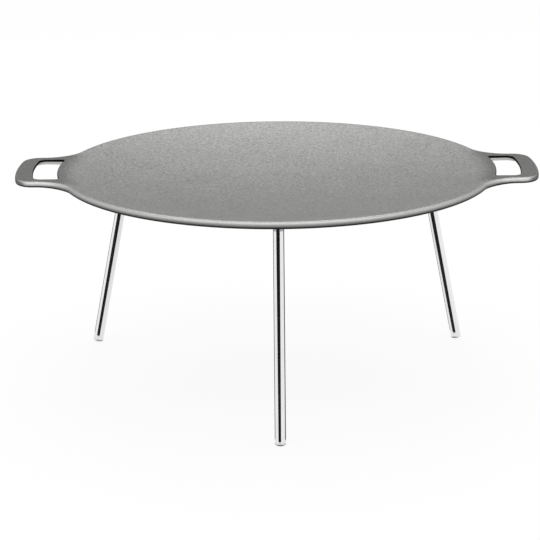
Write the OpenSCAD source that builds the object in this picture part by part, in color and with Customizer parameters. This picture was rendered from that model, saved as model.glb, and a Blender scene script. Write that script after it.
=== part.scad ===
// Camp griddle plate: a shallow dished casting with two loop handles, on three splayed screw-on legs.
// Millimetres. +Z is up, the floor under the feet is z = 0 and the plate's axis is the Z axis.
// The handles lie along X, and the front leg points along -Y.

/* [Plate] */
// Outer diameter of the rim
plate_d = 560; // [500:1:640]
// Height of the rim's top above the floor
plate_h = 278.5; // [240:0.5:340]
// Thickness of the fully rounded edge that runs round the rim and the handles
rim_t = 9.2; // [8.4:0.1:11]
// Depth of the cooking hollow at its centre, below the rim's top
dish_depth = 30; // [20:0.5:34]
// Wall thickness at the centre of the dish
dish_wall = 6; // [5:0.1:8]

/* [Handles] */
// Reach of a handle's outer edge from the plate's axis
handle_reach = 337; // [325:1:350]
// Width of a handle across its outer corners
handle_w = 138; // [125:1:150]
// Radius of a handle's outer corners, seen from above
handle_corner_r = 24; // [18:1:30]
// Radius of the hollow curve that leads from the rim into a handle
handle_root_r = 50; // [35:1:70]
// Width of a finger hole
hole_w = 107; // [95:1:112]
// Strip of metal between the rim's outer edge and a finger hole
hole_web = 3; // [2:0.5:6]
// Width of the grip bar outside a finger hole
grip_w = 23; // [19:0.5:27]
// Radius of a finger hole's corners on the grip side
hole_grip_r = 10; // [6:0.5:14]
// Radius of a finger hole's corners on the rim side
hole_rim_r = 4; // [2:0.5:6]

/* [Leg seats] */
// Distance of a leg's seat from the rim's outer edge
seat_inset = 52; // [44:1:75]
// Lean of a leg away from vertical, in degrees
leg_splay = 12.6; // [9:0.1:16]
// Diameter of the cast pad that a leg seats on
pad_d = 26; // [22:0.5:30]
// Height of the pad's face below the dish's underside, on the leg's axis
pad_h = 2; // [1.6:0.1:3]

/* [Threads] */
// Diameter of the threaded stud
stud_d = 8; // [6:0.5:8.5]
// Depth of the stud's root in the plate
stud_root = 7.5; // [6:0.1:8]
// Rise of the thread in one turn
thread_pitch = 1.25; // [1:0.05:1.5]
// Turns that the leg takes to leave the stud
thread_turns = 12; // [8:1:14]
// Radial clearance between the stud and the bush
thread_gap = 0.05; // [0.02:0.01:0.1]

/* [Lock washers] */
// Outer diameter of a spring lock washer
washer_d = 14.8; // [14:0.1:17]
// Thickness of a spring lock washer
washer_t = 2; // [1.5:0.1:2.5]
// Radial clearance between a washer and the stud
washer_gap = 0.3; // [0.2:0.05:0.6]
// Width of a washer's slit
washer_slit = 1.8; // [1.2:0.1:2.5]

/* [Legs] */
// Outer diameter of a leg tube
leg_d = 13.5; // [12.5:0.1:16]
// Wall of a leg tube
tube_wall = 1; // [0.8:0.1:1.4]
// Thickness of the bush's flange on top of the tube
flange_t = 2.5; // [1.5:0.1:4]
// Length of bush left below the tip of the stud
bush_spare = 3; // [2:0.5:6]
// Height of the foot plug's straight lip below the tube
lip_t = 1.5; // [1:0.1:3]
// Radius of the foot plug's domed end
dome_r = 11; // [9:0.5:16]
// Length of the foot plug inside the tube
plug_in = 14; // [10:0.5:20]
// Chamfer on the edges where leg pieces meet
edge_cut = 0.3; // [0.2:0.05:0.4]

/* [Hidden] */
$fn = 96;

LEG_NAMES = ["front", "left", "right"];
LEG_ANGLES = [-90, 150, 30];
LEG_PARTS = ["stud", "washer", "bush", "tube", "foot"];

// Rounded edge: its radius, and the circle that its centre follows round the plate
edge_r = rim_t / 2;
edge_z = plate_h - edge_r;
rim_path_r = plate_d / 2 - edge_r;
// The rounded edge stands this much proud of the flat faces and of the dish inside it
edge_proud = 0.3;
// A length of rounded edge is this much slimmer than the one it leads out of, in radius
edge_step = 0.06;

// Dish: two spheres on the plate's axis, through the rounded edge and through the middle of the wall
dish_edge_z = plate_h - edge_proud;
under_edge_z = plate_h - rim_t + edge_proud;
dish_low_z = plate_h - dish_depth;
under_low_z = dish_low_z - dish_wall;
dish_sphere_r = cap_radius(rim_path_r, dish_edge_z - dish_low_z);
under_sphere_r = cap_radius(rim_path_r, under_edge_z - under_low_z);
dish_sphere_fn = 1800;

// Handle outline on the rounded edge's centre line: corner circle, hollow root circle and their meeting points
tip_path_r = handle_reach - edge_r;
corner_path_r = handle_corner_r - edge_r;
root_path_r = handle_root_r + edge_r;
corner_y = handle_w / 2 - handle_corner_r;
corner_x = sqrt(pow(handle_reach - handle_corner_r, 2) - pow(corner_y, 2));
corner_dist = handle_reach - handle_corner_r;
corner_turn = atan2(corner_y, corner_x);
root_dist = plate_d / 2 + handle_root_r;
root_to_corner = handle_root_r + handle_corner_r;
root_turn = corner_turn + triangle_angle(root_dist, corner_dist, root_to_corner);
root_x = root_dist * cos(root_turn);
root_y = root_dist * sin(root_turn);
bend_turn = atan2(root_y - corner_y, root_x - corner_x);
arc_steps = 12;

// Finger hole
hole_in_r = plate_d / 2 + hole_web;
hole_out_r = handle_reach - grip_w;
hole_cut = 2 * rim_t;

// Leg seats on the dish's underside
seat_r = plate_d / 2 - seat_inset;
seat_z = under_z(seat_r) - pad_h;

// Legs, measured along their own axis from the pad's face
stud_r = stud_d / 2;
stud_out = washer_t + thread_turns * thread_pitch;
leg_r = leg_d / 2;
tube_bore_r = leg_r - tube_wall;
flange_end = washer_t + flange_t;
bush_end = stud_out + bush_spare;
dome_centre = (seat_z - dome_r) / cos(leg_splay);
dome_start = dome_centre + sqrt(dome_r * dome_r - leg_r * leg_r);
tube_end = dome_start - lip_t;
pad_root = 4;
stud_tip = 1;
slit_tilt = 20;

// Radius of the sphere whose cap has this rim radius and height
function cap_radius(rim_r, height) = (rim_r * rim_r + height * height) / (2 * height);
// Angle between two sides of a triangle, opposite its third side
function triangle_angle(a, b, opposite) = acos((a * a + b * b - opposite * opposite) / (2 * a * b));
// Height of the dish's underside at a distance from the plate's axis
function under_z(r) = under_low_z + under_sphere_r - sqrt(under_sphere_r * under_sphere_r - r * r);
// Points of an arc, from one angle to another
function arc(x, y, r, from, to) =
    [for (i = [0 : arc_steps]) let (a = from + (to - from) * i / arc_steps) [x + r * cos(a), y + r * sin(a)]];

// A length of rounded edge: an arc of the rim's round section, slimmed by some steps
module edge_arc(x, y, r, from, to, steps = 0) {
    translate([x, y, edge_z])
        rotate([0, 0, from])
            rotate_extrude(angle = to - from)
                translate([r, 0])
                    circle(edge_r - steps * edge_step);
}

// Dish between its two spheres, out to the middle of the rounded edge
module dish() {
    rotate_extrude($fn = 240)
        intersection() {
            difference() {
                translate([0, under_low_z + under_sphere_r])
                    circle(under_sphere_r, $fn = dish_sphere_fn);
                translate([0, dish_low_z + dish_sphere_r])
                    circle(dish_sphere_r, $fn = dish_sphere_fn);
            }
            translate([0, under_low_z - dish_wall])
                square([rim_path_r, plate_h - under_low_z + dish_wall]);
        }
}

// Rounded edge of the plate between its two handles
module rim() {
    for (side = [0, 180])
        edge_arc(0, 0, rim_path_r, side + root_turn, side + 180 - root_turn);
}

// Rounded edge of the handle on +X
module handle_edge() {
    edge_arc(0, 0, tip_path_r, -corner_turn, corner_turn);
    for (flip = [0, 1])
        mirror([0, flip, 0]) {
            edge_arc(corner_x, corner_y, corner_path_r, corner_turn, bend_turn, 1);
            edge_arc(root_x, root_y, root_path_r, root_turn + 180, bend_turn + 180, 2);
        }
}

// Flat web of the handle on +X, inside its rounded edge
module handle_web() {
    upper = concat(
        arc(0, 0, tip_path_r, 0, corner_turn),
        arc(corner_x, corner_y, corner_path_r, corner_turn, bend_turn),
        arc(root_x, root_y, root_path_r, bend_turn + 180, root_turn + 180),
        arc(0, 0, rim_path_r, root_turn, 0));
    for (flip = [0, 1])
        mirror([0, flip, 0])
            translate([0, 0, plate_h - rim_t + edge_proud])
                linear_extrude(rim_t - 2 * edge_proud)
                    polygon(upper);
}

// Finger hole through the handle on +X
module finger_hole() {
    grip_y = hole_w / 2 - hole_grip_r;
    grip_x = sqrt(pow(hole_out_r - hole_grip_r, 2) - grip_y * grip_y);
    grip_turn = atan2(grip_y, grip_x);
    rim_y = hole_w / 2 - hole_rim_r;
    rim_x = sqrt(pow(hole_in_r + hole_rim_r, 2) - rim_y * rim_y);
    rim_turn = atan2(rim_y, rim_x);
    upper = concat(
        arc(0, 0, hole_out_r, 0, grip_turn),
        arc(grip_x, grip_y, hole_grip_r, grip_turn, 90),
        arc(rim_x, rim_y, hole_rim_r, 90, rim_turn + 180),
        arc(0, 0, hole_in_r, rim_turn, 0));
    lower = [for (i = [len(upper) - 1 : -1 : 0]) [upper[i].x, -upper[i].y]];
    translate([0, 0, edge_z - hole_cut / 2])
        linear_extrude(hole_cut)
            polygon(concat(upper, lower));
}

// Puts a shape on a leg's axis: its +Z runs down the leg from the centre of the pad's face
module on_leg(angle) {
    rotate([0, 0, angle])
        translate([seat_r, 0, seat_z])
            rotate([0, 180 - leg_splay, 0])
                children();
}

// A turned ring or rod: a cylinder with chamfers of the given sizes at its upper and lower ends
module turned(r, from, to, cut_from, cut_to) {
    rotate_extrude()
        polygon([
            [0, from], [r - cut_from, from], [r, from + cut_from],
            [r, to - cut_to], [r - cut_to, to], [0, to]]);
}

// One casting: dish, rounded rim, both handles and the three leg pads with their tapped holes
module griddle_plate() {
    color("dimgray")
        difference() {
            union() {
                dish();
                rim();
                for (side = [0, 180])
                    rotate([0, 0, side]) {
                        handle_edge();
                        handle_web();
                    }
                for (angle = LEG_ANGLES)
                    on_leg(angle)
                        translate([0, 0, -pad_root])
                            cylinder(d = pad_d, h = pad_root);
            }
            for (side = [0, 180])
                rotate([0, 0, side])
                    finger_hole();
            for (angle = LEG_ANGLES)
                on_leg(angle)
                    translate([0, 0, -stud_root])
                        cylinder(r = stud_r, h = 2 * stud_root);
        }
}

// Threaded stud, fixed in the plate, that the leg screws on to
module leg_stud(angle) {
    color("silver")
        on_leg(angle)
            turned(stud_r, -stud_root, stud_out, 0, stud_tip);
}

// Spring lock washer between the plate's pad and the leg
module leg_washer(angle) {
    color("darkgray")
        on_leg(angle)
            difference() {
                cylinder(d = washer_d, h = washer_t);
                translate([0, 0, -washer_t])
                    cylinder(r = stud_r + washer_gap, h = 3 * washer_t);
                translate([washer_d / 2, 0, washer_t / 2])
                    rotate([slit_tilt, 0, 0])
                        cube([washer_d, washer_slit, 3 * washer_t], center = true);
            }
}

// Flanged threaded bush, pressed into the top of the tube
module leg_bush(angle) {
    color("silver")
        on_leg(angle)
            difference() {
                union() {
                    turned(leg_r, washer_t, flange_end, edge_cut, edge_cut);
                    turned(tube_bore_r, flange_end - edge_cut, bush_end, 0, edge_cut);
                }
                cylinder(r = stud_r + thread_gap, h = bush_end + bush_spare);
            }
}

// Leg tube, from the bush's flange to the foot plug's lip
module leg_tube(angle) {
    color("gainsboro")
        on_leg(angle)
            difference() {
                turned(leg_r, flange_end, tube_end, edge_cut, edge_cut);
                cylinder(r = tube_bore_r, h = tube_end + plug_in);
            }
}

// Domed plug that closes the foot of the tube
module leg_foot(angle) {
    color("gray")
        on_leg(angle) {
            turned(tube_bore_r, tube_end - plug_in, tube_end + edge_cut, edge_cut, 0);
            turned(leg_r, tube_end, dome_start, edge_cut, 0);
            intersection() {
                translate([0, 0, dome_centre])
                    sphere(dome_r);
                translate([0, 0, dome_start])
                    cylinder(r = leg_r, h = dome_r);
            }
        }
}

griddle_plate();
for (i = [0 : len(LEG_NAMES) - 1]) {
    leg_stud(LEG_ANGLES[i]);
    leg_washer(LEG_ANGLES[i]);
    leg_bush(LEG_ANGLES[i]);
    leg_tube(LEG_ANGLES[i]);
    leg_foot(LEG_ANGLES[i]);
}
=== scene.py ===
"""Camp griddle plate: a dished iron casting with two loop handles on three screw-on legs, and its studio."""

import math

import bmesh
import bpy
from bpy.props import FloatProperty, FloatVectorProperty, PointerProperty
from mathutils import Matrix, Vector


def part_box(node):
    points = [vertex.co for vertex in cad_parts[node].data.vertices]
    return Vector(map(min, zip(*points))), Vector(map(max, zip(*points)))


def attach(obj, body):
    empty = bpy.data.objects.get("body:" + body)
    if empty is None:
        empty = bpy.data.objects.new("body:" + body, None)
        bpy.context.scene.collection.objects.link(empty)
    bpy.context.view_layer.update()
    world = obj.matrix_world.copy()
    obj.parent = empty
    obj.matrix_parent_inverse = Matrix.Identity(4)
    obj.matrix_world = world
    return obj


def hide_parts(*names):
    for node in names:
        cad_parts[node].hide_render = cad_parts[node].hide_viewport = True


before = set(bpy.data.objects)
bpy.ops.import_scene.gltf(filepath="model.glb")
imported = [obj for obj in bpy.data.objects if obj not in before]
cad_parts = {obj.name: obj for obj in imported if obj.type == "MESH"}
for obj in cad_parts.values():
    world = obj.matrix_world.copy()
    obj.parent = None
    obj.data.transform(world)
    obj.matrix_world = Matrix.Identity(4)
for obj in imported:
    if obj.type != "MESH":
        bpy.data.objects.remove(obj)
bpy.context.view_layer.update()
plate_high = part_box("griddle_plate")[1]

bl_info = {
    "name": "Camp griddle plate",
    "version": (1, 0, 0),
    "blender": (4, 5, 0),
    "location": "View3D > Sidebar > Griddle",
    "description": "Models a cast iron camp griddle plate on three screw-on legs, and its studio",
    "category": "Object",
}

MM = 0.001
UP = (0, 0, 1)
ORIGIN = (0, 0, 0)

# Sizes that differ by less are the same, and points that are closer are merged
SAME = 0.01 * MM
MERGE = 0.03 * MM
RING_MERGE = 0.2 * MM
THREAD_MERGE = 0.002 * MM
SMOOTH_ANGLE = math.radians(35)
SHARP_ANGLE = math.radians(60)

# Steps of the arcs that the casting's outline, its finger holes and its dish are drawn with
RIM_STEPS = 110
ROOT_STEPS = 16
CORNER_STEPS = 14
TIP_STEPS = 20
HOLE_STEPS = 24
HOLE_GRIP_STEPS = 20
HOLE_RIM_STEPS = 18
MOUTH_STEPS = 48
SHOULDER_STEPS = 8
DISH_RINGS = 26
EDGE_SEGMENTS = 9
HOLE_SEGMENTS = 3

# Steps round the turned pieces, and of the arcs in their sections
TUBE_STEPS = 128
BUSH_STEPS = 96
PAD_STEPS = 72
WASHER_STEPS = 80
THREAD_STEPS = 40
COVE_STEPS = 8
DOME_STEPS = 16
DOME_ROUND_STEPS = 6

# Small details of the casting and the legs
EDGE_MARGIN = 0.05 * MM
HOLLOW_MARGIN = 0.2 * MM
HOLE_STRIP = 0.7 * MM
PAD_EDGE = 0.6 * MM
PAD_SIDE = 1.6 * MM
PAD_ROOT = 6 * MM
BUSH_MOUTH = 0.6 * MM
WASHER_EDGE = 0.25 * MM
THREAD_DEPTH = 0.61

LEG_ANGLES = {"front": -90, "left": 150, "right": 30}
# Turns from the camera between which a leg mirrors black: a stripe down its front, and its edges
LEG_STRIPES = {"front": (-44, 22), "left": (-53, 25), "right": (-65, 17)}
LEG_EDGES = {"front": (108, 240), "left": (175, 243), "right": (175, 240)}
STRIPE_TAPER = 0.66

# The studio, in metres
FLOOR_SIZE = 16
LIGHT_AIM = (0, 0, 0.25)
KEY_PLACE = (0, 1.6, 2.15)
KEY_SIZE = (1.8, 1.0)
FRONT_PLACE = (0, -1.0, 2.3)
FRONT_SIZE = (5.0, 1.0)
FAR_CLIP = 50
SENSOR_MM = 36
# How much of the paper is plain white where metal mirrors it, and where the camera sees it
WHITE_MIRRORED = 0.8
WHITE_SEEN = 0.9

# What several materials set on their nodes. A noise's values lie mostly within the range
SMOOTH = {"interpolation_type": "SMOOTHSTEP"}
RGB = {"data_type": "RGBA"}
NOISE_RANGE = {"From Min": 0.3, "From Max": 0.7}


def from_hex(code):
    """Linear colour of an sRGB hex value."""
    parts = [int(code[i:i + 2], 16) / 255 for i in (1, 3, 5)]
    return tuple(p / 12.92 if p <= 0.04045 else ((p + 0.055) / 1.055) ** 2.4 for p in parts)


def length(name, description, millimetres):
    """A size property, stated in millimetres and kept in metres."""
    return FloatProperty(
        name=name, description=description, default=millimetres * MM, precision=5, unit="LENGTH")


def angle(name, description, degrees):
    """An angle property, stated in degrees."""
    return FloatProperty(name=name, description=description, default=math.radians(degrees), subtype="ANGLE")


def colour(name, description, code):
    """A colour property, stated as an sRGB hex value."""
    return FloatVectorProperty(
        name=name, description=description, default=from_hex(code), min=0, max=1, size=3, subtype="COLOR")


class CastingSizes(bpy.types.PropertyGroup):
    """Sizes of the iron casting: dish, rim and handles"""

    rim_radius: length("Rim radius", "Outer radius of the rim", plate_high.y / MM)
    top: length("Rim top", "Height of the rim's top above the floor", plate_high.z / MM)
    edge: length("Edge thickness", "Thickness of the rounded edge of rim and handles", 9.2)
    flat: length("Flat strip", "Flat strip inside the rounded edge", 0.3)
    dish_depth: length("Dish depth", "Depth of the cooking hollow at its centre", 30)
    dish_wall: length("Dish wall", "Wall at the centre of the dish", 6)
    shoulder: length("Shoulder radius", "Roundness of the dish where it runs into the rim", 6)
    under_shoulder: length("Under shoulder radius", "Roundness of the underside at the rim", 30)
    handle_reach: length("Handle reach", "Reach of a handle from the plate's axis", plate_high.x / MM)
    handle_width: length("Handle width", "Width of a handle across its corners", 138)
    handle_corner: length("Handle corner", "Radius of a handle's outer corners", 24)
    handle_root: length("Handle root", "Radius of the hollow curve from rim to handle", 50)
    hole_width: length("Hole width", "Width of a finger hole", 107)
    hole_web: length("Hole web", "Metal between the rim and a finger hole", 3)
    grip: length("Grip bar", "Width of the grip bar outside a finger hole", 23)
    hole_grip_corner: length("Grip corner", "Radius of a finger hole's corners at the grip", 10)
    hole_rim_corner: length("Rim corner", "Radius of a finger hole's corners at the rim", 4)
    hole_round: length("Hole edge", "Rounding of a finger hole's edges", 1.2)
    relief: length("Finger relief", "Depth of the hollow under a finger hole's edge", 5.2)
    relief_width: length("Relief width", "Width of the slope of that hollow", 5.5)
    handle_thickness: length("Handle thickness", "Thickness of a handle at its grip", 8)
    handle_taper: length("Handle taper", "Length over which the edge thins from the rim to the grip", 45)
    pad: length("Pad diameter", "Diameter of the cast pad under a leg", 26)
    pad_cove: length("Pad cove", "Radius of the hollow curve at a pad's foot", 3)


class LegSizes(bpy.types.PropertyGroup):
    """Sizes of the screw-on legs, along a leg's own axis from the face of its pad"""

    seat_radius: length("Seat radius", "Distance of a leg's seat from the plate's axis", 228)
    seat_height: length("Seat height", "Height of the centre of a pad's face", 259.01746)
    splay: angle("Splay", "Lean of a leg away from vertical", 12.6)
    tube: length("Tube diameter", "Outer diameter of a leg tube", 13.5)
    wall: length("Tube wall", "Wall of a leg tube", 1)
    tube_end: length("Tube end", "Lower end of the tube", 261.315)
    dome_start: length("Dome start", "Where the foot's dome begins", 262.815)
    dome: length("Dome radius", "Radius of the foot's dome", 11)
    dome_round: length("Dome edge", "Rounding of the edge between foot and dome", 1.2)
    plug: length("Plug length", "Length of the foot plug inside the tube", 14)
    cut: length("Edge cut", "Chamfer on the edges where leg pieces meet", 0.3)
    stud: length("Stud diameter", "Diameter of the threaded stud", 8)
    stud_root: length("Stud root", "Depth of the stud in the plate", 7.5)
    stud_out: length("Stud length", "Length of the stud outside the plate", 17)
    stud_tip: length("Stud tip", "Chamfer on the stud's tip", 1)
    pitch: length("Thread pitch", "Rise of the thread in one turn", 1.25)
    washer: length("Washer diameter", "Outer diameter of the lock washer", 14.8)
    washer_bore: length("Washer bore", "Inner diameter of the lock washer", 8.6)
    washer_thickness: length("Washer thickness", "Thickness of the lock washer", 2)
    washer_slit: length("Washer slit", "Width of the lock washer's slit", 1.8)
    flange: length("Flange", "Thickness of the bush's flange", 2.5)
    bush_end: length("Bush end", "Lower end of the bush", 20)
    bush_bore: length("Bush bore", "Bore of the bush", 8.1)


class Finishes(bpy.types.PropertyGroup):
    """Colours of the metals"""

    dish: colour("Dish", "Cooking surface of the casting", "#929291")
    handle: colour("Handle", "Tops of the handles, as cast", "#747473")
    # Painted highlight: lighter than the iron, so that the rim's rounded edge shows a bright band
    lip: colour("Lip", "Rounded edge of the rim", "#b6b6b5")
    # Worn bright, and lightened further as a painted highlight on the handles' rounded edge
    grip: colour("Grip edge", "Rounded edge of the handles, worn bright by hands", "#c4c4c3")
    # Soot on the underside, also used as painted shade on the lower half of the rounded edge
    underside: colour("Underside", "Underside of the casting, with soot", "#363635")
    ash: colour("Ash", "Ash and scorch marks on the underside", "#63615e")
    # Painted shade: near black in the finger holes, darker than seasoning alone
    hole: colour("Hole wall", "Walls of the finger holes, black with seasoning", "#131313")
    # Painted highlight: bright, so that the slope under a finger hole reads like the white seen through it
    hollow: colour("Finger hollow", "Slope under a finger hole, rubbed bright by fingers", "#cdcdcb")
    graze: colour("Grazing shine", "Shine of the iron at a low angle, dulled by its oxide skin", "#b4b4b3")
    steel: colour("Stainless steel", "Polished tubes and feet", "#eaeaeb")
    # Painted shade on the down-facing side of the feet
    scuff: colour("Scuffed steel", "Underside of the feet, scuffed by the ground", "#3a3a3a")
    zinc: colour("Zinc plate", "Studs, washers and bushes", "#c8cbcf")


class StudioValues(bpy.types.PropertyGroup):
    """Camera and light"""

    azimuth: angle("Azimuth", "Turn of the camera from the front", -0.42)
    elevation: angle("Elevation", "Height of the camera", 13.59)
    pan: angle("Pan", "Aim to the right of the plate", -0.18)
    tilt: angle("Tilt", "Aim above the plate", -2.39)
    roll: angle("Roll", "Turn of the camera about its aim", -0.42)
    distance: length("Distance", "Distance of the camera from the plate", 3080)
    lens: FloatProperty(
        name="Lens", description="Focal length on a 36 mm sensor", default=158.6, unit="CAMERA")
    key: FloatProperty(
        name="Key light", description="Power of the softbox behind the plate", default=15, unit="POWER")
    front: FloatProperty(
        name="Front light", description="Power of the softbox over the camera", default=18, unit="POWER")
    sky: FloatProperty(name="Room light", description="Strength of the light from all round", default=0.9)
    card_gap: length("Card gap", "Distance of a leg's black card from the leg's axis", 20)
    floor: colour("Floor", "Paper floor of the studio", "#f4f4f4")
    felt: colour("Felt", "Black felt of the cards beside the legs", "#303030")
    room: colour("Room", "Walls and ceiling of the room", "#ffffff")


class GriddleSettings(bpy.types.PropertyGroup):
    """All settings of the griddle plate and its studio"""

    casting: PointerProperty(type=CastingSizes)
    leg: PointerProperty(type=LegSizes)
    finish: PointerProperty(type=Finishes)
    studio: PointerProperty(type=StudioValues)


# Modelling steps that several pieces share


def start_piece(name):
    """Opens a new empty piece in edit mode."""
    bpy.ops.object.select_all(action="DESELECT")
    bpy.ops.mesh.primitive_plane_add(size=1)
    piece = bpy.context.active_object
    piece.name = name
    piece.data.name = name
    bpy.ops.object.mode_set(mode="EDIT")
    bpy.ops.mesh.select_mode(type="VERT")
    bpy.ops.mesh.delete(type="VERT")
    return piece


def start_line(point):
    """Puts down one point to draw a line from."""
    bpy.ops.mesh.select_mode(type="VERT")
    bpy.ops.mesh.primitive_plane_add(size=MM, location=point)
    bpy.ops.mesh.merge(type="CENTER")


def line_by(step):
    """Draws a straight line from the last point, or extrudes the whole selection by a step."""
    bpy.ops.mesh.extrude_region_move(TRANSFORM_OT_translate={"value": step})


def sweep(centre, degrees, steps):
    """Draws a level arc from the last point, or turns the whole selection through an angle."""
    bpy.ops.mesh.spin(steps=steps, angle=-math.radians(degrees), center=centre, axis=UP)


def merge_points():
    """Merges points that lie on each other."""
    bpy.ops.mesh.select_all(action="SELECT")
    bpy.ops.mesh.remove_doubles(threshold=MERGE)


def near(value, wanted):
    """Whether two sizes are the same."""
    return abs(value - wanted) < SAME


def pick(piece, kind, test):
    """Selects the points, edges or faces that pass a test."""
    bpy.ops.mesh.select_mode(type=kind)
    bpy.ops.mesh.select_all(action="DESELECT")
    shape = bmesh.from_edit_mesh(piece.data)
    parts = {"VERT": shape.verts, "EDGE": shape.edges, "FACE": shape.faces}
    for part in parts[kind]:
        part.select_set(test(part))
    shape.select_flush_mode()
    bmesh.update_edit_mesh(piece.data)


def pick_open(piece, test, most_faces=1):
    """Selects the edges with no more than that many faces whose two ends pass a test."""
    def is_open(edge):
        return len(edge.link_faces) <= most_faces and all(test(end.co) for end in edge.verts)

    pick(piece, "EDGE", is_open)


def round_sharp_edges(radius, segments):
    """Rounds all the sharp edges of the piece."""
    bpy.ops.mesh.select_mode(type="EDGE")
    bpy.ops.mesh.select_all(action="DESELECT")
    bpy.ops.mesh.edges_select_sharp(sharpness=SHARP_ANGLE)
    bpy.ops.mesh.bevel(offset=radius, segments=segments, profile=0.5, affect="EDGES")


def close_piece():
    """Merges doubled points, turns the faces outwards and leaves edit mode."""
    merge_points()
    bpy.ops.mesh.normals_make_consistent(inside=False)
    bpy.ops.object.mode_set(mode="OBJECT")
    bpy.ops.object.shade_smooth_by_angle(angle=SMOOTH_ANGLE)


def draw_section(outline):
    """Draws a section through points of radius and height."""
    start_line((outline[0][0], 0, outline[0][1]))
    for (r0, z0), (r1, z1) in zip(outline, outline[1:]):
        line_by((r1 - r0, 0, z1 - z0))
    merge_points()


def lathe(name, outline, steps):
    """Turns a section about the Z axis."""
    piece = start_piece(name)
    draw_section(outline)
    sweep(ORIGIN, 360, steps)
    close_piece()
    return piece


def arc_points(centre, radius, start, end, steps):
    """Points of an arc in a section, from one angle to another in degrees."""
    turns = [math.radians(start + (end - start) * i / steps) for i in range(steps + 1)]
    return [(centre[0] + radius * math.cos(t), centre[1] + radius * math.sin(t)) for t in turns]


def apply_place(piece, place):
    """Moves a piece to a place and keeps the place in its mesh."""
    piece.matrix_world = place
    bpy.ops.object.transform_apply(location=True, rotation=True, scale=True)


def leg_place(leg, name):
    """Where a leg's own axis stands: its Z runs down the leg from the centre of the pad's face."""
    turn = Matrix.Rotation(math.radians(LEG_ANGLES[name]), 4, "Z")
    seat = Matrix.Translation((leg.seat_radius, 0, leg.seat_height))
    lean = Matrix.Rotation(math.pi - leg.splay, 4, "Y")
    return turn @ seat @ lean


def select_only(piece):
    """Makes a piece the only one that the next operator acts on."""
    bpy.ops.object.select_all(action="DESELECT")
    piece.select_set(True)
    bpy.context.view_layer.objects.active = piece


def copy_to_legs(model, kind, body, leg, material):
    """Copies a piece to the three legs, in place of the solids of that kind."""
    model.data.materials.append(material)
    for name in LEG_ANGLES:
        select_only(model)
        bpy.ops.object.duplicate(linked=False)
        piece = bpy.context.active_object
        piece.name = f"{kind}_{name}"
        piece.data.name = piece.name
        apply_place(piece, leg_place(leg, name))
        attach(piece, body.format(name))
        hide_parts(f"leg_{kind}_{name}")
    bpy.data.objects.remove(model)


def join_solids(piece, other, operation):
    """Joins a second solid to a piece, or keeps what they share, and removes the second one."""
    select_only(piece)
    cut = piece.modifiers.new("Join", "BOOLEAN")
    cut.object = other
    cut.operation = operation
    cut.solver = "EXACT"
    bpy.ops.object.modifier_apply(modifier=cut.name)
    bpy.data.objects.remove(other)


# Materials


def add_node(tree, kind, settings=None, values=None, links=None):
    """Adds a node with its settings, its sockets' values and its links from other nodes' outputs."""
    node = tree.nodes.new(kind)
    for name, value in (settings or {}).items():
        setattr(node, name, value)
    for name, value in (values or {}).items():
        node.inputs[name].default_value = value
    for name, output in (links or {}).items():
        tree.links.new(output, node.inputs[name])
    return node


def new_material(name):
    """A new material with an empty node tree."""
    material = bpy.data.materials.new(name)
    material.use_nodes = True
    material.node_tree.nodes.clear()
    return material


def opaque(rgb):
    """A colour with full alpha."""
    return (*rgb, 1)


def share_within(tree, *limits):
    """How far a spot lies within all of some limits. Each limit is a value, where it starts and where it is
    full."""
    share = None
    for value, start, full in limits:
        limit = add_node(
            tree, "ShaderNodeMapRange", SMOOTH, {"From Min": start, "From Max": full},
            {"Value": value}).outputs[0]
        if share is not None:
            limit = add_node(
                tree, "ShaderNodeMath", {"operation": "MULTIPLY"}, links={0: share, 1: limit}).outputs[0]
        share = limit
    return share


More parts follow.
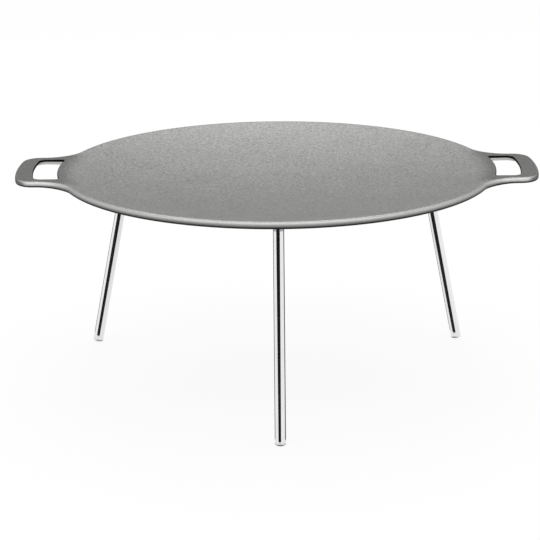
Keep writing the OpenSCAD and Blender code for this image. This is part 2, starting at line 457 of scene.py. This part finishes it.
def sand_cast_iron(finish, casting):
    """Grey iron from a sand mould. The sand leaves a fine even grain that breaks the shine into specks.
    The handles are darker than the cooking surface. Their edges and the rim are worn bright and carry a
    painted highlight, and the sides of the handles' ends carry painted shade. The underside is sooty, and the
    soot colour also paints shade on the lower half of the rounded edge. The finger holes' walls are painted
    near black as shade, and the slopes under them are painted bright as a highlight."""
    material = new_material("Sand-cast grey iron")
    tree = material.node_tree
    place = add_node(tree, "ShaderNodeTexCoord")
    spot = place.outputs["Object"]
    split = add_node(tree, "ShaderNodeSeparateXYZ", links={"Vector": spot})
    normal = add_node(tree, "ShaderNodeSeparateXYZ", links={"Vector": place.outputs["Normal"]})
    facing = normal.outputs["Z"]
    sideways, across, along = (
        add_node(tree, "ShaderNodeMath", {"operation": "ABSOLUTE"}, links={0: part}).outputs[0]
        for part in (normal.outputs["X"], split.outputs["X"], split.outputs["Y"]))
    level = add_node(tree, "ShaderNodeVectorMath", {"operation": "MULTIPLY"}, {1: (1, 1, 0)}, {0: spot})
    reach = add_node(
        tree, "ShaderNodeVectorMath", {"operation": "LENGTH"}, links={0: level.outputs[0]}).outputs["Value"]
    rim = casting.rim_radius
    tip = casting.handle_reach
    half_handle = casting.handle_width / 2

    # The handles' tops are darker and run softly into the dish
    handle_share = share_within(
        tree, (reach, rim - 26 * MM, rim + 3 * MM), (along, half_handle + 26 * MM, half_handle - 2 * MM))
    # The rounded edge is worn bright and carries a painted highlight, most of all on the handles. The sides
    # of the handles' ends, turned away from the lamps, are painted dark as shade with the handle colour
    edge_wear_and_highlight = share_within(tree, (facing, 0.97, 0.88))
    grip_wear_and_highlight = share_within(tree, (across, rim - 36 * MM, rim + 12 * MM))
    # Painted shade: the sides of the handles' ends that face away from the lamps take the dark handle colour
    end_painted_shade = share_within(tree, (across, tip - 30 * MM, tip - 12 * MM), (sideways, 0.2, 0.65))
    # Soot has blackened the underside. The same colour paints shade on the lower half of the rounded edge,
    # reaching higher up on the rim than on the handles
    soot_and_shade_line = add_node(
        tree, "ShaderNodeMapRange", SMOOTH,
        {"From Min": rim - 5 * MM, "From Max": rim + 25 * MM, "To Min": 0.45, "To Max": 0.02},
        {"Value": across}).outputs[0]
    soot_and_shade_share = add_node(
        tree, "ShaderNodeMapRange", values={"From Max": -0.43},
        links={"Value": facing, "From Min": soot_and_shade_line}).outputs[0]
    # Ash and scorch marks on the underside, in patches of about 90 mm
    scorch = add_node(
        tree, "ShaderNodeTexNoise", values={"Scale": 1 / (90 * MM), "Detail": 6, "Roughness": 0.68},
        links={"Vector": spot}).outputs["Fac"]
    ash_share = share_within(tree, (scorch, 0.4, 0.66), (facing, -0.86, -0.95))
    # The finger holes' walls are dark with seasoning and painted near black as shade, and the hollows below
    # them are painted bright as a highlight
    wall_outset = 0.6 * MM
    hollow_outset = casting.relief_width + 3 * MM
    hole_painted_shade, hollow_painted_highlight = (
        share_within(
            tree,
            (along, casting.hole_width / 2 + outset + MM, casting.hole_width / 2 + outset),
            (reach, tip - casting.grip + outset + MM, tip - casting.grip + outset),
            (reach, rim + casting.hole_web - outset - MM, rim + casting.hole_web - outset),
            *leans)
        for outset, *leans in (
            # Hole walls: painted shade
            (wall_outset, (facing, 0.99, 0.93)),
            # Hollow slopes: painted highlight
            (hollow_outset, (facing, -0.4, -0.6), (facing, -0.96, -0.86))))

    # Each coat: its name, the share of its second colour, and two colours or coats that are already mixed
    coats = (
        ("top", handle_share, finish.dish, finish.handle),
        # Rounded edges: wear and a painted highlight, with painted shade at the handles' ends
        ("worn", grip_wear_and_highlight, finish.lip, finish.grip),
        # Painted shade on the handles' ends, in the handle colour
        ("edge", end_painted_shade, "worn", finish.handle),
        ("upper", edge_wear_and_highlight, "top", "edge"),
        ("below", ash_share, finish.underside, finish.ash),
        # Soot below, and painted shade on the lower half of the rounded edge
        ("body", soot_and_shade_share, "upper", "below"),
        # Painted shade on the finger holes' walls
        ("hole_shaded", hole_painted_shade, "body", finish.hole),
        # Painted highlight on the slopes under the finger holes
        ("skin", hollow_painted_highlight, "hole_shaded", finish.hollow))
    mixed = {}
    for name, share, *pair in coats:
        values = {}
        links = {0: share}
        for socket, side in zip((6, 7), pair):
            if isinstance(side, str):
                links[socket] = mixed[side]
            else:
                values[socket] = opaque(side)
        mixed[name] = add_node(tree, "ShaderNodeMix", RGB, values, links).outputs[2]

    # Moulding sand of 0.3 mm is too fine to show, so its grain is drawn at 3.2 mm
    grain = add_node(
        tree, "ShaderNodeTexNoise", values={"Scale": 1 / (3.2 * MM), "Detail": 2, "Roughness": 0.6},
        links={"Vector": spot}).outputs["Fac"]
    # Uneven wear and seasoning in patches of about 60 mm
    patches = add_node(
        tree, "ShaderNodeTexNoise", values={"Scale": 1 / (60 * MM), "Detail": 4, "Roughness": 0.55},
        links={"Vector": spot}).outputs["Fac"]
    speck, patch, rough = (
        add_node(
            tree, "ShaderNodeMapRange", values={**NOISE_RANGE, "To Min": low, "To Max": high},
            links={"Value": noise}).outputs[0]
        for noise, low, high in ((grain, 0.73, 1.27), (patches, 0.97, 1.03), (grain, 0.42, 0.46)))
    # Wear has rubbed most of the grain off the rounded edges
    rubbed, depth = (
        add_node(
            tree, "ShaderNodeMapRange", values={"To Min": inside, "To Max": on_edge},
            links={"Value": edge_wear_and_highlight}).outputs[0]
        for inside, on_edge in ((0.0, 0.8), (0.5, 0.08)))
    left_over = add_node(tree, "ShaderNodeMix", values={3: 1.0}, links={0: rubbed, 2: speck}).outputs[0]
    tone = add_node(
        tree, "ShaderNodeMath", {"operation": "MULTIPLY"}, links={0: left_over, 1: patch}).outputs[0]
    tinted = add_node(
        tree, "ShaderNodeVectorMath", {"operation": "SCALE"}, links={0: mixed["skin"], "Scale": tone})
    bump = add_node(
        tree, "ShaderNodeBump", values={"Distance": 0.3 * MM}, links={"Height": grain, "Strength": depth})
    shader = add_node(
        tree, "ShaderNodeBsdfPrincipled", values={"Metallic": 1.0, "Specular Tint": opaque(finish.graze)},
        links={"Base Color": tinted.outputs[0], "Roughness": rough, "Normal": bump.outputs[0]})
    add_node(tree, "ShaderNodeOutputMaterial", links={"Surface": shader.outputs[0]})
    return material


def bright_metal(name, metal, cloud, rough, tone, shade_below=None):
    """A bright metal. Its blur and its tone vary a little in clouds of a size, and the side that faces down
    may be painted darker as shade."""
    material = new_material(name)
    tree = material.node_tree
    place = add_node(tree, "ShaderNodeTexCoord")
    clouds = add_node(
        tree, "ShaderNodeTexNoise", values={"Scale": 1 / cloud, "Detail": 4, "Roughness": 0.6},
        links={"Vector": place.outputs["Object"]}).outputs["Fac"]
    blur, shade = (
        add_node(
            tree, "ShaderNodeMapRange", values={**NOISE_RANGE, "To Min": low, "To Max": high},
            links={"Value": clouds}).outputs[0]
        for low, high in (rough, tone))
    links = {"Scale": shade}
    if shade_below:
        facing = add_node(tree, "ShaderNodeSeparateXYZ", links={"Vector": place.outputs["Normal"]})
        # Painted shade: the side facing down is darker
        shaded = share_within(tree, (facing.outputs["Z"], -0.05, -0.35))
        both = add_node(
            tree, "ShaderNodeMix", RGB, {6: opaque(metal), 7: opaque(shade_below)}, {0: shaded})
        links[0] = both.outputs[2]
    tinted = add_node(tree, "ShaderNodeVectorMath", {"operation": "SCALE"}, {0: tuple(metal)}, links)
    shader = add_node(
        tree, "ShaderNodeBsdfPrincipled", values={"Metallic": 1.0},
        links={"Base Color": tinted.outputs[0], "Roughness": blur})
    add_node(tree, "ShaderNodeOutputMaterial", links={"Surface": shader.outputs[0]})
    return material


def polished_stainless(name, steel, shade_below=None):
    """Stainless steel, polished on a belt. It mirrors the studio, very slightly blurred and uneven, with
    polishing haze in patches of about 25 mm."""
    return bright_metal(name, steel, 25 * MM, (0.05, 0.1), (0.96, 1.02), shade_below)


def zinc_plated_steel(zinc):
    """Turned steel with bright zinc plating. It is satin and cool grey, with clouds of about 4 mm."""
    return bright_metal("Zinc-plated steel", zinc, 4 * MM, (0.26, 0.42), (0.88, 1.05))


# The casting


def handle_arcs(casting):
    """Centres and angles of the arcs that a handle's outline is made of, for the handle on +X."""
    corner_y = casting.handle_width / 2 - casting.handle_corner
    corner_reach = casting.handle_reach - casting.handle_corner
    corner_x = math.sqrt(corner_reach ** 2 - corner_y ** 2)
    corner_turn = math.atan2(corner_y, corner_x)
    root_reach = casting.rim_radius + casting.handle_root
    between = casting.handle_root + casting.handle_corner
    opening = (root_reach ** 2 + corner_reach ** 2 - between ** 2) / (2 * root_reach * corner_reach)
    root_turn = corner_turn + math.acos(opening)
    root = (root_reach * math.cos(root_turn), root_reach * math.sin(root_turn))
    bend_turn = math.atan2(root[1] - corner_y, root[0] - corner_x)
    return (corner_x, corner_y), root, *map(math.degrees, (corner_turn, root_turn, bend_turn))


def draw_outline(casting, height):
    """Draws the plate's outline, rim and both handles."""
    corner, root, corner_turn, root_turn, bend_turn = handle_arcs(casting)
    start = math.radians(root_turn)
    start_line((casting.rim_radius * math.cos(start), casting.rim_radius * math.sin(start), height))
    for side in (-1, 1):
        sweep((0, 0, height), 180 - 2 * root_turn, RIM_STEPS)
        sweep((side * root[0], -side * root[1], height), root_turn - bend_turn, ROOT_STEPS)
        sweep((side * corner[0], -side * corner[1], height), bend_turn - corner_turn, CORNER_STEPS)
        sweep((0, 0, height), 2 * corner_turn, TIP_STEPS)
        sweep((side * corner[0], side * corner[1], height), bend_turn - corner_turn, CORNER_STEPS)
        sweep((side * root[0], side * root[1], height), root_turn - bend_turn, ROOT_STEPS)
    merge_points()


def draw_hole(casting, side, outset, height):
    """Draws a finger hole's outline, that far outside its edge."""
    grip_reach = casting.handle_reach - casting.grip
    grip_y = casting.hole_width / 2 - casting.hole_grip_corner
    grip_x = math.sqrt((grip_reach - casting.hole_grip_corner) ** 2 - grip_y ** 2)
    grip_turn = math.degrees(math.atan2(grip_y, grip_x))
    rim_y = casting.hole_width / 2 - casting.hole_rim_corner
    rim_x = math.sqrt((casting.rim_radius + casting.hole_web + casting.hole_rim_corner) ** 2 - rim_y ** 2)
    rim_turn = math.degrees(math.atan2(rim_y, rim_x))
    start = math.radians(-grip_turn)
    start_reach = side * (grip_reach + outset)
    start_line((start_reach * math.cos(start), start_reach * math.sin(start), height))
    sweep((0, 0, height), 2 * grip_turn, HOLE_STEPS)
    sweep((side * grip_x, side * grip_y, height), 90 - grip_turn, HOLE_GRIP_STEPS)
    line_by((side * (rim_x - grip_x), 0, 0))
    sweep((side * rim_x, side * rim_y, height), 90 + rim_turn, HOLE_RIM_STEPS)
    sweep((0, 0, height), -2 * rim_turn, HOLE_STEPS)
    sweep((side * rim_x, -side * rim_y, height), 90 + rim_turn, HOLE_RIM_STEPS)
    line_by((side * (grip_x - rim_x), 0, 0))
    sweep((side * grip_x, -side * grip_y, height), 90 - grip_turn, HOLE_GRIP_STEPS)
    merge_points()


def dish_section(rim_r, depth, shoulder):
    """Radii and depths from the rim's level strip to the centre: a round shoulder, then a shallow sphere."""
    # Shoulder and sphere meet without a bend at a lean that each round comes closer to
    lean = 0.2
    for _ in range(40):
        start_r = rim_r - shoulder * math.sin(lean)
        rise = depth - shoulder * (1 - math.cos(lean))
        sphere = (start_r ** 2 + rise ** 2) / (2 * rise)
        lean = math.asin(start_r / sphere)
    leans = [lean * i / SHOULDER_STEPS for i in range(1, SHOULDER_STEPS + 1)]
    points = [(rim_r - shoulder * math.sin(t), shoulder * (1 - math.cos(t))) for t in leans]
    for i in range(1, DISH_RINGS):
        r = start_r * (1 - i / DISH_RINGS)
        points.append((r, depth - (sphere - math.sqrt(sphere ** 2 - r ** 2))))
    return points


def on_ring(co, level, ring):
    """Whether a point lies on the dish's ring at a level."""
    return near(co.z, level) and near(math.hypot(co.x, co.y), ring)


def sink_dish(piece, ring, level, section):
    """Extrudes the open ring inside the rim, ring by ring, into the dish and closes it at the centre."""
    pick_open(piece, lambda co: on_ring(co, level, ring))
    radius, depth = ring, 0
    for next_radius, next_depth in section:
        line_by((0, 0, depth - next_depth))
        ratio = next_radius / radius
        bpy.ops.transform.resize(value=(ratio, ratio, 1), center_override=(0, 0, level - next_depth))
        radius, depth = next_radius, next_depth
    bpy.ops.mesh.edge_face_add()
    bpy.ops.mesh.poke()


def level_handles(piece, casting, ring, level):
    """Closes the dish's ring across both handles and fills each handle's level face round its hole."""
    root_turn = handle_arcs(casting)[3]
    turn = math.radians(root_turn)
    for side in (-1, 1):
        start_line((side * ring * math.cos(turn), -side * ring * math.sin(turn), level))
        sweep((0, 0, level), 2 * root_turn, MOUTH_STEPS)
    pick(piece, "VERT", lambda vert: on_ring(vert.co, level, ring))
    bpy.ops.mesh.remove_doubles(threshold=RING_MERGE)
    mouth = ring * math.cos(turn) - RING_MERGE
    for side in (-1, 1):
        pick_open(piece, lambda co: near(co.z, level) and side * co.x > mouth)
        bpy.ops.mesh.fill(use_beauty=True)


def model_casting(casting, leg):
    """Models the dish, the rounded rim and the handles as one casting, with its leg pads."""
    top = casting.top
    bottom = casting.top - casting.edge
    edge_round = casting.edge / 2 - EDGE_MARGIN
    strip = casting.edge / 2 + casting.flat
    ring = casting.rim_radius - strip
    hole_strip = casting.hole_round + HOLE_STRIP
    many_sides = 50
    hollow = hole_strip + casting.relief_width + HOLLOW_MARGIN
    hollow_y = casting.hole_width / 2 + hollow
    hollow_r = casting.handle_reach - casting.grip + hollow

    def is_hollow(co, side):
        beside_hole = abs(co.y) < hollow_y and math.hypot(co.x, co.y) < hollow_r
        return beside_hole and side * co.x > 0 and co.z < top - casting.hole_round

    piece = start_piece("plate_casting")

    # Rim and handles: the outline's thickness, a level strip above and below, and both edges fully rounded
    draw_outline(casting, bottom)
    bpy.ops.mesh.select_all(action="SELECT")
    bpy.ops.mesh.edge_face_add()
    line_by((0, 0, casting.edge))
    pick(piece, "FACE", lambda face: len(face.verts) > many_sides)
    bpy.ops.mesh.inset(thickness=strip)
    bpy.ops.mesh.delete(type="ONLY_FACE")
    round_sharp_edges(edge_round, EDGE_SEGMENTS)

    # Finger holes: a level strip and a wall from above, and a hollow with room for the fingers from below
    for side in (-1, 1):
        for level, wall in ((top, casting.relief - casting.edge), (bottom + casting.relief, 0)):
            draw_hole(casting, side, hole_strip, level)
            pick_open(piece, lambda co: near(co.z, level), most_faces=0)
            bpy.ops.mesh.edge_face_add()
            bpy.ops.mesh.inset(thickness=hole_strip)
            if wall:
                line_by((0, 0, wall))
            bpy.ops.mesh.delete(type="ONLY_FACE")
        draw_hole(casting, side, hole_strip + casting.relief_width, bottom)
        pick_open(piece, lambda co: is_hollow(co, side))
        bpy.ops.mesh.fill(use_beauty=True)
    merge_points()
    bpy.ops.mesh.normals_make_consistent(inside=False)
    round_sharp_edges(casting.hole_round, HOLE_SEGMENTS)

    # Level handles, then the dish and its underside
    level_handles(piece, casting, ring, top)
    sink_dish(piece, ring, top, dish_section(ring, casting.dish_depth, casting.shoulder))
    level_handles(piece, casting, ring, bottom)
    under_depth = casting.dish_depth + casting.dish_wall - casting.edge
    sink_dish(piece, ring, bottom, dish_section(ring, under_depth, casting.under_shoulder))

    # The edge thins softly from the rim to each grip
    pick(piece, "VERT", lambda vert: abs(vert.co.x) > casting.rim_radius + casting.handle_corner)
    bpy.ops.transform.resize(
        value=(1, 1, casting.handle_thickness / casting.edge), center_override=(0, 0, top),
        use_proportional_edit=True, proportional_edit_falloff="SMOOTH",
        proportional_size=casting.handle_taper)
    close_piece()

    # A round pad for each leg, with a hollow curve where it leaves the underside
    radius = casting.pad / 2
    cove = arc_points((radius + casting.pad_cove, -PAD_SIDE), casting.pad_cove, 180, 265, COVE_STEPS)
    outline = [
        (0, 0), (radius - PAD_EDGE, 0), (radius, -PAD_EDGE), *cove, (cove[-1][0], -PAD_ROOT), (0, -PAD_ROOT)]
    for name in LEG_ANGLES:
        pad = lathe(f"pad_{name}", outline, PAD_STEPS)
        apply_place(pad, leg_place(leg, name))
        join_solids(piece, pad, "UNION")
    bpy.ops.object.shade_smooth_by_angle(angle=SMOOTH_ANGLE)
    return piece


class GRIDDLE_OT_casting(bpy.types.Operator):
    """Models the iron casting with its dish, rim, handles and leg pads"""

    bl_idname = "griddle.casting"
    bl_label = "Iron casting"

    def execute(self, context):
        settings = context.scene.griddle
        piece = model_casting(settings.casting, settings.leg)
        piece.data.materials.clear()
        piece.data.materials.append(sand_cast_iron(settings.finish, settings.casting))
        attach(piece, "plate")
        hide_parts("griddle_plate")
        return {"FINISHED"}


# The legs


class GRIDDLE_OT_tubes(bpy.types.Operator):
    """Models a leg tube and copies it to the three legs"""

    bl_idname = "griddle.tubes"
    bl_label = "Leg tubes"

    def execute(self, context):
        settings = context.scene.griddle
        leg = settings.leg
        outer, bore, cut = leg.tube / 2, leg.tube / 2 - leg.wall, leg.cut
        start, end = leg.washer_thickness + leg.flange, leg.tube_end
        tube = lathe("tube", [
            (bore, start), (outer - cut, start), (outer, start + cut), (outer, end - cut), (outer - cut, end),
            (bore, end), (bore, start)], TUBE_STEPS)
        material = polished_stainless("Polished stainless steel", settings.finish.steel)
        copy_to_legs(tube, "tube", "leg_{}", leg, material)
        return {"FINISHED"}


class GRIDDLE_OT_feet(bpy.types.Operator):
    """Models a domed foot plug and copies it to the three legs"""

    bl_idname = "griddle.feet"
    bl_label = "Leg feet"

    def execute(self, context):
        settings = context.scene.griddle
        leg, finish = settings.leg, settings.finish
        outer, bore, cut = leg.tube / 2, leg.tube / 2 - leg.wall, leg.cut
        start, end = leg.tube_end - leg.plug, leg.tube_end
        dome_centre = leg.dome_start - math.sqrt(leg.dome ** 2 - outer ** 2)
        inner_r, inner_dome = outer - leg.dome_round, leg.dome - leg.dome_round
        round_z = dome_centre + math.sqrt(inner_dome ** 2 - inner_r ** 2)
        lean = math.degrees(math.atan2(round_z - dome_centre, inner_r))
        outline = [
            (0, start), (bore - cut, start), (bore, start + cut), (bore, end), (outer - cut, end),
            (outer, end + cut), *arc_points((inner_r, round_z), leg.dome_round, 0, lean, DOME_ROUND_STEPS),
            *arc_points((0, dome_centre), leg.dome, lean, 90, DOME_STEPS)[1:-1], (0, dome_centre + leg.dome)]
        foot = lathe("foot", outline, TUBE_STEPS)
        # The feet are painted darker as shade where they face down
        material = polished_stainless("Polished stainless steel, scuffed below", finish.steel, finish.scuff)
        copy_to_legs(foot, "foot", "leg_{}", leg, material)
        return {"FINISHED"}


class GRIDDLE_OT_bushes(bpy.types.Operator):
    """Models a flanged bush and copies it to the three legs"""

    bl_idname = "griddle.bushes"
    bl_label = "Threaded bushes"

    def execute(self, context):
        settings = context.scene.griddle
        leg = settings.leg
        outer, body, bore, cut = leg.tube / 2, leg.tube / 2 - leg.wall, leg.bush_bore / 2, leg.cut
        start, end = leg.washer_thickness, leg.washer_thickness + leg.flange
        bush = lathe("bush", [
            (bore + BUSH_MOUTH, start), (outer - cut, start), (outer, start + cut), (outer, end - cut),
            (outer - cut, end), (body, end), (body, leg.bush_end - cut), (body - cut, leg.bush_end),
            (bore, leg.bush_end), (bore, start + BUSH_MOUTH), (bore + BUSH_MOUTH, start)], BUSH_STEPS)
        material = zinc_plated_steel(settings.finish.zinc)
        copy_to_legs(bush, "bush", "leg_{}", leg, material)
        return {"FINISHED"}


class GRIDDLE_OT_studs(bpy.types.Operator):
    """Models a threaded stud and copies it under the plate"""

    bl_idname = "griddle.studs"
    bl_label = "Threaded studs"

    def execute(self, context):
        settings = context.scene.griddle
        leg = settings.leg
        crest = leg.stud / 2
        groove = crest - THREAD_DEPTH * leg.pitch
        groove_flat, crest_flat, flank = leg.pitch / 8, leg.pitch / 4, leg.pitch * 5 / 16
        start = -leg.stud_root - 2 * leg.pitch
        thread = start_piece("thread")
        start_line((groove, 0, start))
        line_by((0, 0, groove_flat))
        line_by((crest - groove, 0, flank))
        line_by((0, 0, crest_flat))
        line_by((groove - crest, 0, flank))
        bpy.ops.object.mode_set(mode="OBJECT")
        screw = thread.modifiers.new("Thread", "SCREW")
        screw.screw_offset = leg.pitch
        screw.iterations = math.ceil((leg.stud_out - start) / leg.pitch) + 1
        screw.steps = screw.render_steps = THREAD_STEPS
        screw.use_merge_vertices = True
        screw.merge_threshold = THREAD_MERGE
        bpy.ops.object.modifier_apply(modifier=screw.name)
        bpy.ops.object.mode_set(mode="EDIT")
        merge_points()
        bpy.ops.mesh.fill_holes(sides=0)
        close_piece()
        blank = lathe("blank", [
            (0, -leg.stud_root), (2 * crest, -leg.stud_root),
            (2 * crest, leg.stud_out - crest - leg.stud_tip), (crest - leg.stud_tip, leg.stud_out),
            (0, leg.stud_out)], THREAD_STEPS)
        join_solids(thread, blank, "INTERSECT")
        bpy.ops.object.shade_smooth_by_angle(angle=SMOOTH_ANGLE)
        material = zinc_plated_steel(settings.finish.zinc)
        copy_to_legs(thread, "stud", "plate", leg, material)
        return {"FINISHED"}


class GRIDDLE_OT_washers(bpy.types.Operator):
    """Models a split lock washer and copies it to the three legs"""

    bl_idname = "griddle.washers"
    bl_label = "Lock washers"

    def execute(self, context):
        settings = context.scene.griddle
        leg = settings.leg
        inner, outer, height = leg.washer_bore / 2, leg.washer / 2, leg.washer_thickness
        half_slit = math.degrees(leg.washer_slit / (inner + outer))
        washer = start_piece("washer")
        draw_section([
            (inner + WASHER_EDGE, 0), (outer - WASHER_EDGE, 0), (outer, WASHER_EDGE),
            (outer, height - WASHER_EDGE), (outer - WASHER_EDGE, height), (inner + WASHER_EDGE, height),
            (inner, height - WASHER_EDGE), (inner, WASHER_EDGE), (inner + WASHER_EDGE, 0)])
        bpy.ops.transform.rotate(
            value=-math.radians(half_slit), orient_axis="Z", center_override=ORIGIN)
        sweep(ORIGIN, 360 - 2 * half_slit, WASHER_STEPS)
        bpy.ops.mesh.select_all(action="SELECT")
        bpy.ops.mesh.fill_holes(sides=0)
        close_piece()
        material = zinc_plated_steel(settings.finish.zinc)
        copy_to_legs(washer, "washer", "washer_{}", leg, material)
        return {"FINISHED"}


# The studio


def mirror_share(tree, path):
    """Share of the rays that metal or glass sends on."""
    return add_node(
        tree, "ShaderNodeMath", {"operation": "MAXIMUM"},
        links={0: path.outputs["Is Glossy Ray"], 1: path.outputs["Is Transmission Ray"]}).outputs[0]


def white_paper(studio):
    """A wide sheet of white paper. Seen directly or in the metal it is white, and it keeps the shadow."""
    bpy.ops.object.select_all(action="DESELECT")
    bpy.ops.mesh.primitive_plane_add(size=FLOOR_SIZE)
    floor = bpy.context.active_object
    floor.name = "floor"
    material = new_material("White studio paper")
    tree = material.node_tree
    place = add_node(tree, "ShaderNodeTexCoord")
    # Paper fibre of about 3 mm, barely there
    fibre = add_node(
        tree, "ShaderNodeTexNoise", values={"Scale": 1 / (3 * MM), "Detail": 2},
        links={"Vector": place.outputs["Object"]}).outputs["Fac"]
    tone = add_node(
        tree, "ShaderNodeMapRange", values={"To Min": 0.985, "To Max": 1.0}, links={"Value": fibre})
    tinted = add_node(
        tree, "ShaderNodeVectorMath", {"operation": "SCALE"}, {0: tuple(studio.floor)},
        {"Scale": tone.outputs[0]})
    paper = add_node(tree, "ShaderNodeBsdfDiffuse", links={"Color": tinted.outputs[0]})
    glow = add_node(tree, "ShaderNodeEmission", values={"Strength": 1.0})
    path = add_node(tree, "ShaderNodeLightPath")
    in_metal, to_camera = (
        add_node(tree, "ShaderNodeMath", {"operation": "MULTIPLY"}, {1: white}, {0: rays}).outputs[0]
        for rays, white in (
            (mirror_share(tree, path), WHITE_MIRRORED), (path.outputs["Is Camera Ray"], WHITE_SEEN)))
    share = add_node(
        tree, "ShaderNodeMath", {"operation": "MAXIMUM"}, links={0: in_metal, 1: to_camera})
    both = add_node(
        tree, "ShaderNodeMixShader", links={0: share.outputs[0], 1: paper.outputs[0], 2: glow.outputs[0]})
    add_node(tree, "ShaderNodeOutputMaterial", links={"Surface": both.outputs[0]})
    floor.data.materials.append(material)


def softbox(name, place, size, power):
    """A rectangular softbox at a place, aimed at the griddle plate."""
    bpy.ops.object.light_add(type="AREA", location=place)
    lamp = bpy.context.active_object
    lamp.name = name
    lamp.data.shape = "RECTANGLE"
    lamp.data.size, lamp.data.size_y = size
    lamp.data.energy = power
    lamp.rotation_euler = (Vector(LIGHT_AIM) - Vector(place)).to_track_quat("-Z", "Y").to_euler()


def black_card(studio, leg, name, purpose, left, right, taper=1):
    """A black card along a leg, out of the picture. The polished tube mirrors it between two turns. The card
    may narrow towards the foot."""
    place = leg_place(leg, name)
    middle, half = math.radians(left + right) / 2, math.radians(right - left) / 2
    toward = place.to_3x3().inverted() @ Vector((math.sin(middle), -math.cos(middle), 0))
    turn = Matrix.Rotation(math.atan2(toward.y, toward.x), 4, "Z")
    gap = Matrix.Translation((studio.card_gap, 0, leg.tube_end / 2))
    upright = Matrix.Rotation(math.pi / 2, 4, "Y")
    size = Matrix.Diagonal((leg.tube_end, 2 * studio.card_gap * math.tan(half), 1, 1))
    bpy.ops.object.select_all(action="DESELECT")
    bpy.ops.mesh.primitive_plane_add(size=1)
    card = bpy.context.active_object
    card.name = f"black_card_{purpose}_{name}"
    bpy.ops.object.mode_set(mode="EDIT")
    pick(card, "VERT", lambda vert: vert.co.x < 0)
    bpy.ops.transform.resize(value=(1, taper, 1), center_override=ORIGIN)
    bpy.ops.object.mode_set(mode="OBJECT")
    apply_place(card, place @ turn @ gap @ upright @ size)
    card.visible_camera = card.visible_diffuse = card.visible_shadow = False
    material = new_material("Black felt")
    tree = material.node_tree
    felt = add_node(tree, "ShaderNodeBsdfDiffuse", values={"Color": opaque(studio.felt)})
    add_node(tree, "ShaderNodeOutputMaterial", links={"Surface": felt.outputs[0]})
    card.data.materials.append(material)


def room(scene, studio):
    """A white room: plain light from all round, and white where it is seen or mirrored."""
    world = bpy.data.worlds.new("White room")
    world.use_nodes = True
    tree = world.node_tree
    tree.nodes.clear()
    light, white = (
        add_node(tree, "ShaderNodeBackground", values={"Color": opaque(studio.room), "Strength": strength})
        for strength in (studio.sky, 1.0))
    path = add_node(tree, "ShaderNodeLightPath")
    seen = add_node(
        tree, "ShaderNodeMath", {"operation": "MAXIMUM"},
        links={0: mirror_share(tree, path), 1: path.outputs["Is Camera Ray"]})
    both = add_node(
        tree, "ShaderNodeMixShader", links={0: seen.outputs[0], 1: light.outputs[0], 2: white.outputs[0]})
    add_node(tree, "ShaderNodeOutputWorld", links={"Surface": both.outputs[0]})
    scene.world = world


def place_camera(scene, studio, casting):
    """Puts the camera at the photograph's viewing angle, about the middle of the rim's height."""
    middle = Vector((0, 0, plate_high.z - casting.edge / 2))
    level = math.cos(studio.elevation)
    back = Vector((
        math.sin(studio.azimuth) * level, -math.cos(studio.azimuth) * level, math.sin(studio.elevation)))
    right = (-back).cross(Vector(UP)).normalized()
    up = right.cross(-back)
    aim = (-back + math.tan(studio.pan) * right + math.tan(studio.tilt) * up).normalized()
    right = aim.cross(up).normalized()
    up = right.cross(aim)
    roll = Matrix.Rotation(-studio.roll, 4, aim)
    turn = Matrix((roll @ right, roll @ up, -aim)).transposed().to_4x4()
    bpy.ops.object.camera_add()
    camera = bpy.context.active_object
    camera.name = "Camera at the photograph"
    camera.data.sensor_width = SENSOR_MM
    camera.data.lens = studio.lens
    camera.data.clip_end = FAR_CLIP
    camera.matrix_world = Matrix.Translation(middle + back * studio.distance) @ turn
    scene.camera = camera


class GRIDDLE_OT_studio(bpy.types.Operator):
    """Sets up the floor, the lights, the room and the camera"""

    bl_idname = "griddle.studio"
    bl_label = "Studio"

    def execute(self, context):
        scene = context.scene
        studio, leg = scene.griddle.studio, scene.griddle.leg
        scene.view_settings.view_transform = "Standard"
        white_paper(studio)
        softbox("Softbox behind", KEY_PLACE, KEY_SIZE, studio.key)
        softbox("Softbox over the camera", FRONT_PLACE, FRONT_SIZE, studio.front)
        for name, turns in LEG_STRIPES.items():
            black_card(studio, leg, name, "stripe", *turns, taper=STRIPE_TAPER)
            black_card(studio, leg, name, "edges", *LEG_EDGES[name])
        room(scene, studio)
        place_camera(scene, studio, scene.griddle.casting)
        return {"FINISHED"}


class VIEW3D_PT_griddle(bpy.types.Panel):
    """Lists the steps that model the griddle plate and its studio"""

    bl_label = "Camp griddle plate"
    bl_idname = "VIEW3D_PT_griddle"
    bl_space_type = "VIEW_3D"
    bl_region_type = "UI"
    bl_category = "Griddle"

    def draw(self, context):
        for step in STEPS:
            self.layout.operator(step.bl_idname)


STEPS = (
    GRIDDLE_OT_casting, GRIDDLE_OT_tubes, GRIDDLE_OT_feet, GRIDDLE_OT_bushes, GRIDDLE_OT_studs,
    GRIDDLE_OT_washers, GRIDDLE_OT_studio)
CLASSES = (CastingSizes, LegSizes, Finishes, StudioValues, GriddleSettings, *STEPS, VIEW3D_PT_griddle)


def register():
    for item in CLASSES:
        bpy.utils.register_class(item)
    bpy.types.Scene.griddle = PointerProperty(type=GriddleSettings)


def unregister():
    del bpy.types.Scene.griddle
    for item in reversed(CLASSES):
        bpy.utils.unregister_class(item)


def main():
    register()
    for name in ("Cube", "Light", "Camera"):
        if name in bpy.data.objects:
            bpy.data.objects.remove(bpy.data.objects[name])
    bpy.ops.griddle.casting()
    bpy.ops.griddle.tubes()
    bpy.ops.griddle.feet()
    bpy.ops.griddle.bushes()
    bpy.ops.griddle.studs()
    bpy.ops.griddle.washers()
    bpy.ops.griddle.studio()


if __name__ == "__main__":
    main()
